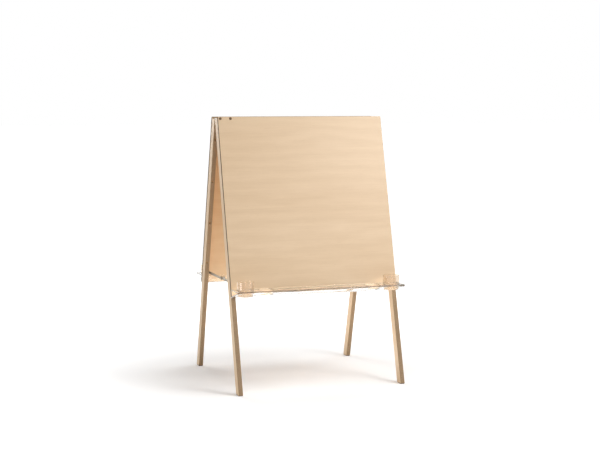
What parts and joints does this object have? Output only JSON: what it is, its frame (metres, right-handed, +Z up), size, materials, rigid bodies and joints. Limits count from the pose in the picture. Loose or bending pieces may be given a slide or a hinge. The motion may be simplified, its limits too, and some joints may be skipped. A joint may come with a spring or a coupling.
{
  "type": "double-sided art easel",
  "caption": "Folding wooden A-frame easel with a drawing board, a clear tray and paint pots on both sides, hinged along the top.",
  "frame": {"origin": "on the floor, under the middle of the easel", "axes": "+X across the boards to the easel's right as seen from the front, +Y from the front board to the rear board, +Z up"},
  "size_m": [0.744, 0.6892, 1.1428],
  "materials": {
    "plywood": "clear-lacquered birch plywood board, satin",
    "frame_plywood": "clear-lacquered birch plywood with its plies on the edges, satin",
    "dowel_wood": "plain turned dowel",
    "clear_sheet": "clear acrylic sheet, polished edges",
    "frosted_plastic": "translucent moulded plastic, lightly frosted",
    "foot_pad": "matt brown pad",
    "dark_steel": "dark bronzed caps, satin",
    "stay_steel": "grey zinc plate, satin",
    "zinc_steel": "zinc plate, satin"
  },
  "bodies": {
    "front_frame": {"front_hinge_bolts": "dark_steel", "front_hinge_screws": "zinc_steel", "front_left_foot": "foot_pad", "front_left_leg": "frame_plywood", "front_panel": "plywood", "front_panel_screws": "zinc_steel", "front_rail_dowels": "dowel_wood", "front_right_foot": "foot_pad", "front_right_leg": "frame_plywood", "front_stay_washers": "zinc_steel", "front_top_rail": "frame_plywood", "front_tray": "clear_sheet", "front_tray_screws": "zinc_steel", "left_hinge_front_leaf": "zinc_steel", "left_hinge_pin": "zinc_steel", "left_stay_front_pivot": "zinc_steel", "right_hinge_front_leaf": "zinc_steel", "right_hinge_pin": "zinc_steel", "right_stay_front_pivot": "zinc_steel"},
    "rear_frame": {"left_hinge_rear_leaf": "zinc_steel", "left_stay_rear_pivot": "zinc_steel", "rear_hinge_bolts": "dark_steel", "rear_hinge_screws": "zinc_steel", "rear_left_foot": "foot_pad", "rear_left_leg": "frame_plywood", "rear_panel": "plywood", "rear_panel_screws": "zinc_steel", "rear_rail_dowels": "dowel_wood", "rear_right_foot": "foot_pad", "rear_right_leg": "frame_plywood", "rear_stay_washers": "zinc_steel", "rear_top_rail": "frame_plywood", "rear_tray": "clear_sheet", "rear_tray_screws": "zinc_steel", "right_hinge_rear_leaf": "zinc_steel", "right_stay_rear_pivot": "zinc_steel"},
    "left_front_stay": {"left_stay_front_link": "stay_steel", "left_stay_rivet": "zinc_steel"},
    "right_front_stay": {"right_stay_front_link": "stay_steel", "right_stay_rivet": "zinc_steel"},
    "left_rear_stay": {"left_stay_rear_link": "stay_steel"},
    "right_rear_stay": {"right_stay_rear_link": "stay_steel"},
    "pot_front_left": {"front_left_pot": "frosted_plastic"},
    "pot_front_right": {"front_right_pot": "frosted_plastic"},
    "pot_rear_left": {"rear_left_pot": "frosted_plastic"},
    "pot_rear_right": {"rear_right_pot": "frosted_plastic"}
  },
  "joints": [
    {"name": "fold", "type": "hinge", "parent": "front_frame", "child": "rear_frame", "pos_m": [0, 0, 1.13333], "axis": [-1, 0, 0], "range_deg": [0, 30]},
    {"name": "left_front_stay_swing", "type": "hinge", "parent": "front_frame", "child": "left_front_stay", "pos_m": [-0.345, -0.20623, 0.44597], "axis": [1, 0, 0], "range_deg": [0, 69.07]},
    {"name": "left_rear_stay_swing", "type": "hinge", "parent": "rear_frame", "child": "left_rear_stay", "pos_m": [-0.34825, 0.20623, 0.44597], "axis": [-1, 0, 0], "range_deg": [0, 69.07]},
    {"name": "right_front_stay_swing", "type": "hinge", "parent": "front_frame", "child": "right_front_stay", "pos_m": [0.345, -0.20623, 0.44597], "axis": [1, 0, 0], "range_deg": [0, 69.07]},
    {"name": "right_rear_stay_swing", "type": "hinge", "parent": "rear_frame", "child": "right_rear_stay", "pos_m": [0.34825, 0.20623, 0.44597], "axis": [-1, 0, 0], "range_deg": [0, 69.07]},
    {"name": "front_left_pot_lift", "type": "slide", "parent": "front_frame", "child": "pot_front_left", "axis": [0, 0, 1], "range_m": [0, 0.08]},
    {"name": "front_right_pot_lift", "type": "slide", "parent": "front_frame", "child": "pot_front_right", "axis": [0, 0, 1], "range_m": [0, 0.08]},
    {"name": "rear_left_pot_lift", "type": "slide", "parent": "rear_frame", "child": "pot_rear_left", "axis": [0, 0, 1], "range_m": [0, 0.08]},
    {"name": "rear_right_pot_lift", "type": "slide", "parent": "rear_frame", "child": "pot_rear_right", "axis": [0, 0, 1], "range_m": [0, 0.08]}
  ],
  "couplings": [
    {"joint": "left_front_stay_swing", "follows": "fold", "ratio": 2.3024},
    {"joint": "left_rear_stay_swing", "follows": "fold", "ratio": 2.3024},
    {"joint": "right_front_stay_swing", "follows": "fold", "ratio": 2.3024},
    {"joint": "right_rear_stay_swing", "follows": "fold", "ratio": 2.3024}
  ]
}
